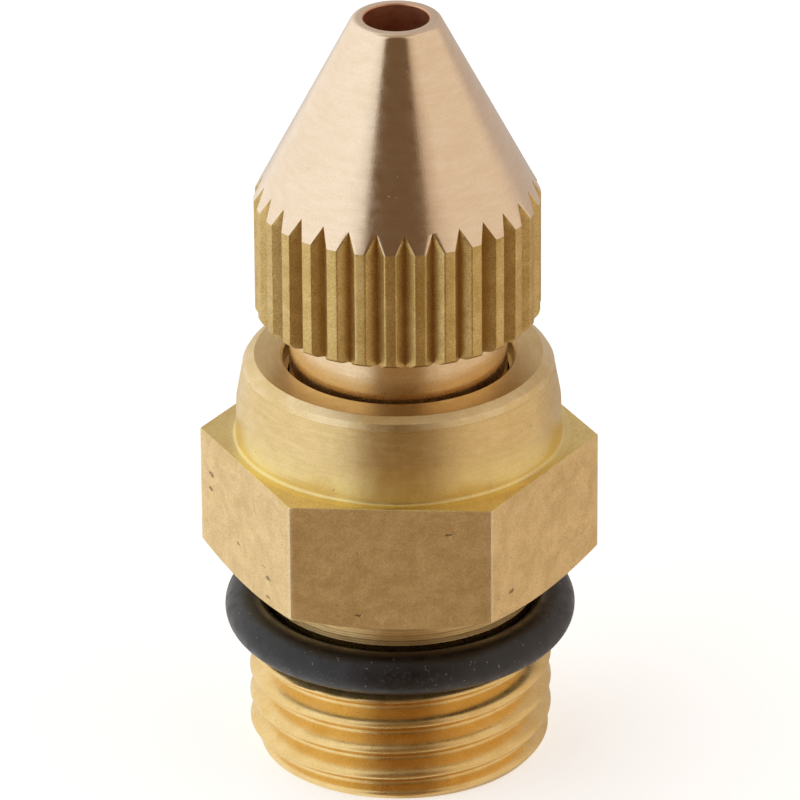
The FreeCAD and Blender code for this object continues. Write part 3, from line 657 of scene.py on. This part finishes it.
def brass(name, colour, dark, roughness, rings=0.3, drawn=0.0, pitting=0.74, arcs=0.5, grain=0.5, speck=0.15,
          nicked=0.0, foot_reflection=0.0, groove_shade=0.0, worn_highlight=0.0, rim_highlight=0.0):
    """Brass with turning rings or drawn grain, specks, pits, nicks and a slight tarnish.

    The last four set how strongly painted marks show: a painted reflection that makes the hexagon's top and
    the collar's foot yellower, painted shade that darkens the knurls' roots, lighter corners of the hexagon
    that are partly wear and partly painted highlight, and a painted highlight that brightens the collar's
    rim."""
    g = Graph(name)
    g.shader.inputs["Metallic"].default_value = 1.0
    blotch = g.noise(g.place, BLOTCH, 6.0, 0.7, 0.8)
    fine = g.noise(g.place, FINE, 2.0, 0.6)
    fleck = g.noise(g.place, FLECK, 2.0, 0.7)
    pit = g.pits(PIT, pitting)
    streak = g.noise(g.rounds(), STREAK, 2.0, 0.6)
    stain = blotch if arcs == 0 else g.times(g.math("ADD", blotch, streak), 0.5)
    base = g.mix(g.remap(stain, 0.32, 0.68), dark, colour)
    # Painted reflection: yellower, patchy brass on the hexagon's top and the collar's foot, where the brass
    # faces mirror each other.
    if foot_reflection > 0:
        above = g.remap(g.height(), FOOT_LOW, FOOT_LOW + 0.06 * MM)
        fading = g.remap(g.height(), FOOT_HIGH, FOOT_LOW, 0.0, 1.0)
        patchy = g.remap(g.noise(g.place, PATCHY, 3.0), 0.30, 0.60, 0.35, 1.0)
        base = g.mix(g.times(above, fading, patchy, foot_reflection), base, FOOT_REFLECTION_COLOUR)
    # Painted shade: darker, redder brass towards the knurls' roots, in the grooves.
    if groove_shade > 0:
        root = g.remap(g.across(), KNURL_ROOT * MM, (GRIP - 0.15) * MM, 1.0, 0.0)
        base = g.mix(g.times(root, groove_shade), base, GROOVE_SHADE_COLOUR)
    # Lighter brass along the hexagon's corners: partly wear, partly painted highlight.
    if worn_highlight > 0:
        corner = g.remap(g.across(), (CORNER - 0.16) * MM, (CORNER - 0.02) * MM)
        base = g.mix(g.times(corner, worn_highlight), base, WORN_HIGHLIGHT_COLOUR)
    # Painted highlight: a lighter, patchy band on the top of the collar's rim.
    if rim_highlight > 0:
        high = g.remap(g.height(), (RIM_LOW - 0.02) * MM, (RIM_LOW + 0.04) * MM)
        outside = g.remap(g.across(), (RIM_INSIDE - 0.02) * MM, (RIM_INSIDE + 0.04) * MM)
        rim_patches = g.remap(g.noise(g.rounds(0.3), RIM_HIGHLIGHT_GRAIN, 3.0), 0.42, 0.62, 0.15, 1.0)
        base = g.mix(g.times(high, outside, rim_patches, rim_highlight), base, RIM_HIGHLIGHT_COLOUR)
    base = g.mix(1.0, base, g.remap(fleck, 0.34, 0.66, 1.0 - speck, 1.0), "MULTIPLY")
    base = g.mix(g.times(pit, 0.45), base, PIT_DARK)
    rough = g.remap(g.noise(g.place, MOTTLE, 4.0, 0.6), 0.25, 0.75, roughness - 0.05, roughness + 0.05)
    rough = g.math("ADD", rough, g.times(pit, 0.2))
    normal = g.bump(g.noise(g.turning(), RING_GRAIN, 3.0, 0.7), rings, 10 * MICRON)
    if drawn > 0:
        along = g.noise(g.stretch(g.place, (1.0, 1.0, DRAWN_LONG)), DRAWN_GRAIN, 4.0, 0.7)
        normal = g.bump(along, drawn, 12 * MICRON, normal)
    if arcs > 0:
        normal = g.bump(streak, arcs, 6 * MICRON, normal)
    normal = g.bump(fine, grain, 5 * MICRON, normal)
    if nicked > 0:
        nick = g.nicks(nicked)
        base = g.mix(g.times(nick, 0.7), base, NICK_DARK)
        normal = g.bump(g.math("SUBTRACT", 1.0, nick), 0.7, 45 * MICRON, normal)
    normal = g.bump(g.math("SUBTRACT", 1.0, pit), 0.5, 15 * MICRON, normal)
    g.link(base, g.shader.inputs["Base Color"])
    g.link(rough, g.shader.inputs["Roughness"])
    g.link(normal, g.shader.inputs["Normal"])
    return g.material


def rubber():
    """Matt black rubber with a fine grain and a little dust."""
    g = Graph("ring_rubber")
    dust = g.pits(4800.0, 0.70)
    patch = g.remap(g.noise(g.place, 420.0, 3.0), 0.56, 0.72)
    haze = g.times(patch, g.remap(g.noise(g.place, 7000.0, 2.0), 0.45, 0.7))
    base = g.mix(haze, (0.005, 0.0045, 0.006, 1.0), (0.045, 0.042, 0.048, 1.0))
    base = g.mix(g.times(dust, 0.4), base, (0.35, 0.33, 0.31, 1.0))
    g.link(base, g.shader.inputs["Base Color"])
    g.link(g.remap(g.noise(g.place, 1400.0, 4.0), 0.3, 0.7, 0.30, 0.48), g.shader.inputs["Roughness"])
    g.shader.inputs["Specular IOR Level"].default_value = 0.58
    normal = g.bump(g.noise(g.place, 6500.0, 3.0, 0.6), 0.35, 8 * MICRON)
    normal = g.bump(g.noise(g.place, 900.0, 2.0), 0.25, 30 * MICRON, normal)
    g.link(normal, g.shader.inputs["Normal"])
    return g.material


def steel(name, colour, roughness):
    """Turned or rolled steel with fine rings and slight mottling."""
    g = Graph(name)
    g.shader.inputs["Metallic"].default_value = 1.0
    mottle = g.remap(g.noise(g.place, 1200.0, 4.0, 0.6), 0.3, 0.7)
    darker = tuple(0.8 * part for part in colour[:3]) + (1.0,)
    g.link(g.mix(mottle, darker, colour), g.shader.inputs["Base Color"])
    g.link(g.remap(g.noise(g.place, 2500.0, 3.0), 0.3, 0.7, roughness - 0.05, roughness + 0.08),
           g.shader.inputs["Roughness"])
    g.link(g.bump(g.noise(g.turning(), 5000.0, 3.0, 0.7), 0.3, 10 * MICRON), g.shader.inputs["Normal"])
    return g.material


def plastic():
    """White filled plastic of the backup ring."""
    g = Graph("backup_plastic")
    tone = g.remap(g.noise(g.place, 1500.0, 3.0), 0.3, 0.7)
    g.link(g.mix(tone, (0.70, 0.69, 0.66, 1.0), (0.80, 0.79, 0.77, 1.0)), g.shader.inputs["Base Color"])
    g.shader.inputs["Roughness"].default_value = 0.45
    g.link(g.bump(g.noise(g.turning(), 4000.0, 2.0), 0.2, 8 * MICRON), g.shader.inputs["Normal"])
    return g.material


def floor_material():
    """Pale matt studio floor."""
    g = Graph("studio_floor")
    tone = g.remap(g.noise(g.place, 6.0, 2.0), 0.3, 0.7)
    g.link(g.mix(tone, (0.86, 0.90, 0.94, 1.0), (0.88, 0.92, 0.96, 1.0)), g.shader.inputs["Base Color"])
    g.shader.inputs["Roughness"].default_value = 0.9
    g.shader.inputs["Emission Color"].default_value = (1.0, 1.0, 1.0, 1.0)
    g.shader.inputs["Emission Strength"].default_value = 0.52
    return g.material


def finish_nodes(inner_brass):
    """Materials of the CAD nodes that are shown as they are."""
    hard = steel("hard_steel", (0.62, 0.61, 0.59, 1.0), 0.28)
    spring = steel("spring_temper", (0.30, 0.29, 0.29, 1.0), 0.36)
    mesh_steel = steel("mesh_steel", (0.55, 0.54, 0.52, 1.0), 0.38)
    inner_rubber = rubber()
    choice = {
        "needle_carrier": inner_brass,
        "metering_needle": hard,
        "needle_lock_washer": hard,
        "needle_lock_nut": hard,
        "swirl_core": inner_brass,
        "swirl_core_clip": spring,
        "strainer_frame": inner_brass,
        "strainer_mesh": mesh_steel,
        "strainer_clamp_ring": inner_brass,
        "inlet_snap_ring": spring,
        "shank_seal_ring": inner_rubber,
        "shank_backup_ring": plastic(),
        "orifice_insert": hard,
        "stop_ring": spring,
    }
    for node, material in choice.items():
        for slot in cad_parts[node].material_slots:
            slot.material = material


# ---- studio ----

VIEW_TURN = math.radians(3.06)
VIEW_RISE = math.radians(26.6)
VIEW_ROLL = math.radians(-0.38)
VIEW_DISTANCE = 0.4682
VIEW_AIM = Vector((0.0, 0.0, 0.01958))
SENSOR, LENS, LENS_SHIFT = 36.0, 405.0, 0.0016
FLOOR_HALF, FLOOR_GAP = 3.0, 0.00002


def make_camera():
    """Long lens a little above the object, at the angle of the product picture."""
    lens = bpy.data.cameras.new("camera")
    lens.sensor_width = SENSOR
    lens.lens = LENS
    lens.shift_x = LENS_SHIFT
    lens.clip_start, lens.clip_end = 0.05, 10.0
    camera = bpy.data.objects.new("camera", lens)
    bpy.context.scene.collection.objects.link(camera)
    level = math.cos(VIEW_RISE)
    away = Vector((math.sin(VIEW_TURN) * level, -math.cos(VIEW_TURN) * level, math.sin(VIEW_RISE)))
    look = (-away).to_track_quat("-Z", "Y").to_matrix().to_4x4()
    roll = Matrix.Rotation(VIEW_ROLL, 4, "Z")
    camera.matrix_world = Matrix.Translation(VIEW_AIM + away * VIEW_DISTANCE) @ look @ roll
    bpy.context.scene.camera = camera


def make_floor():
    """Wide plane that the nozzle stands on; reflections see the studio walls in its place."""
    mesh = bpy.data.meshes.new("studio_floor")
    side = FLOOR_HALF
    low = cad_box[0].z - FLOOR_GAP
    corners = [(-side, -side, low), (side, -side, low), (side, side, low), (-side, side, low)]
    mesh.from_pydata(corners, [], [(0, 1, 2, 3)])
    mesh.materials.append(floor_material())
    floor = bpy.data.objects.new("studio_floor", mesh)
    bpy.context.scene.collection.objects.link(floor)
    floor.visible_glossy = False


# Brightness of the studio walls by direction, in degrees from the front towards +X.
LEFT_WALL = (
    (-180, (0.50, 0.43, 0.40)),
    (-165, (0.72, 0.68, 0.65)),
    (-145, (1.00, 0.98, 0.96)),
    (-45, (1.04, 1.03, 1.02)),
    (-32, (0.90, 0.89, 0.88)),
    (-28, (0.84, 0.80, 0.76)),
)
RIGHT_WALL = (
    (36, (0.62, 0.50, 0.40)),
    (50, (0.79, 0.68, 0.57)),
    (112, (0.79, 0.68, 0.57)),
    (130, (0.56, 0.48, 0.44)),
    (165, (0.56, 0.50, 0.47)),
    (180, (0.50, 0.43, 0.40)),
)
CEILING = (0.44, 0.36, 0.26, 1.0)
GAP_ABOVE = ((-22, (0.160, 0.100, 0.056)), (27, (0.160, 0.100, 0.056)))
GAP_BELOW = ((-22, (0.300, 0.188, 0.090)), (27, (0.300, 0.188, 0.090)))

# Heights of the view direction, from -1 to 1, over which the gap and the ceiling fade in.
GAP_FADE = (-0.15, 0.15)
CEILING_FADE = (0.86, 0.99)


def wall_ramp(tree, share, stops):
    """Colour of the walls along one turn round the object."""
    node = tree.nodes.new("ShaderNodeValToRGB")
    ramp = node.color_ramp
    for number, (angle, colour) in enumerate(stops):
        place_at = (angle + 180.0) / 360.0
        stop = ramp.elements[number] if number < 2 else ramp.elements.new(place_at)
        stop.position = place_at
        stop.color = (*colour, 1.0)
    tree.links.new(share, node.inputs[0])
    return node.outputs[0]


def blend_by_height(tree, height, low, high, below, above):
    """Colour that changes from below to above between two heights of the view direction."""
    rise = tree.nodes.new("ShaderNodeMapRange")
    rise.interpolation_type = "SMOOTHSTEP"
    rise.inputs["From Min"].default_value = low
    rise.inputs["From Max"].default_value = high
    tree.links.new(height, rise.inputs["Value"])
    node = tree.nodes.new("ShaderNodeMix")
    node.data_type = "RGBA"
    tree.links.new(rise.outputs[0], node.inputs["Factor"])
    tree.links.new(below, node.inputs[6])
    if isinstance(above, tuple):
        node.inputs[7].default_value = above
    else:
        tree.links.new(above, node.inputs[7])
    return node.outputs[2]


def make_world():
    """Soft studio: bright wall on the left, warmer wall on the right, dark gap in front, dim ceiling."""
    world = bpy.data.worlds.new("studio")
    bpy.context.scene.world = world
    world.use_nodes = True
    tree = world.node_tree
    tree.nodes.clear()
    output = tree.nodes.new("ShaderNodeOutputWorld")
    background = tree.nodes.new("ShaderNodeBackground")
    tree.links.new(background.outputs[0], output.inputs[0])
    place = tree.nodes.new("ShaderNodeTexCoord")
    split = tree.nodes.new("ShaderNodeSeparateXYZ")
    tree.links.new(place.outputs["Generated"], split.inputs[0])
    flip = tree.nodes.new("ShaderNodeMath")
    flip.operation = "MULTIPLY"
    flip.inputs[1].default_value = -1.0
    tree.links.new(split.outputs[1], flip.inputs[0])
    turn = tree.nodes.new("ShaderNodeMath")
    turn.operation = "ARCTAN2"
    tree.links.new(split.outputs[0], turn.inputs[0])
    tree.links.new(flip.outputs[0], turn.inputs[1])
    spread = tree.nodes.new("ShaderNodeMapRange")
    spread.inputs["From Min"].default_value = -math.pi
    spread.inputs["From Max"].default_value = math.pi
    tree.links.new(turn.outputs[0], spread.inputs["Value"])
    below = wall_ramp(tree, spread.outputs[0], LEFT_WALL + GAP_BELOW + RIGHT_WALL)
    above = wall_ramp(tree, spread.outputs[0], LEFT_WALL + GAP_ABOVE + RIGHT_WALL)
    walls = blend_by_height(tree, split.outputs[2], *GAP_FADE, below, above)
    sky = blend_by_height(tree, split.outputs[2], *CEILING_FADE, walls, CEILING)
    tree.links.new(sky, background.inputs["Color"])


# ---- the nozzle ----


def make_nozzle():
    """Builds the outer pieces, hides the CAD nodes they stand for and finishes the rest."""
    tip_bright = brass("tip_polished", (0.94, 0.78, 0.60, 1.0), (0.88, 0.71, 0.52, 1.0), 0.165, rings=0.55,
                       pitting=0.76, arcs=0.3, grain=0.25, speck=0.06)
    # The knurled brass carries painted shade in the knurls' roots.
    tip_grip = brass("tip_knurled", (0.80, 0.59, 0.245, 1.0), (0.66, 0.46, 0.165, 1.0), 0.42, rings=0.0,
                     drawn=0.35, pitting=0.71, arcs=0.0, grain=1.4, speck=0.30, groove_shade=0.35)
    tip_neck = brass("tip_neck", (0.92, 0.72, 0.47, 1.0), (0.86, 0.65, 0.40, 1.0), 0.27, pitting=0.77,
                     grain=0.3, speck=0.10)
    # Redder brass in the bore: painted reflection, standing in for the bore's repeated reflections of its
    # own walls.
    tip_bore_reflection = brass("tip_bore_reflection", (0.90, 0.53, 0.34, 1.0), (0.76, 0.38, 0.22, 1.0), 0.42, rings=0.8)
    thread_brass = brass("thread_burnished", (0.95, 0.71, 0.33, 1.0), (0.86, 0.60, 0.23, 1.0), 0.29,
                         rings=0.5, pitting=0.73, arcs=0.7, grain=0.4, speck=0.12)
    # The hexagon's brass carries the painted reflection at its top and the partly worn, partly
    # painted-highlight corners.
    hex_brass = brass("hex_drawn", (0.96, 0.73, 0.385, 1.0), (0.80, 0.59, 0.28, 1.0), 0.50, rings=0.0,
                      drawn=0.35, pitting=0.72, arcs=0.0, grain=0.9, speck=0.20, nicked=0.16, foot_reflection=0.85,
                      worn_highlight=0.35)
    # The collar's brass carries the painted reflection at its foot and the painted highlight on its rim.
    body_brass = brass("body_satin", (0.87, 0.67, 0.34, 1.0), (0.77, 0.57, 0.26, 1.0), 0.36, rings=0.45,
                       pitting=0.73, grain=0.5, speck=0.11, nicked=0.05, foot_reflection=0.9, rim_highlight=0.5)
    band_brass = brass("neck_band", (0.97, 0.74, 0.38, 1.0), (0.88, 0.62, 0.28, 1.0), 0.47, rings=0.7,
                       pitting=0.74, arcs=0.8, grain=0.3, speck=0.10)
    body = nozzle_body([thread_brass, hex_brass, body_brass, band_brass])
    tip = nozzle_tip([tip_bright, tip_grip, tip_neck, tip_bore_reflection])
    ring = face_ring([rubber()])
    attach(body, "body")
    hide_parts("nozzle_body")
    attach(tip, "tip")
    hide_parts("nozzle_tip")
    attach(ring, "body")
    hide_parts("face_seal_ring")
    finish_nodes(body_brass)


bpy.context.scene.view_settings.view_transform = "Standard"
make_camera()
make_world()
make_floor()
make_nozzle()
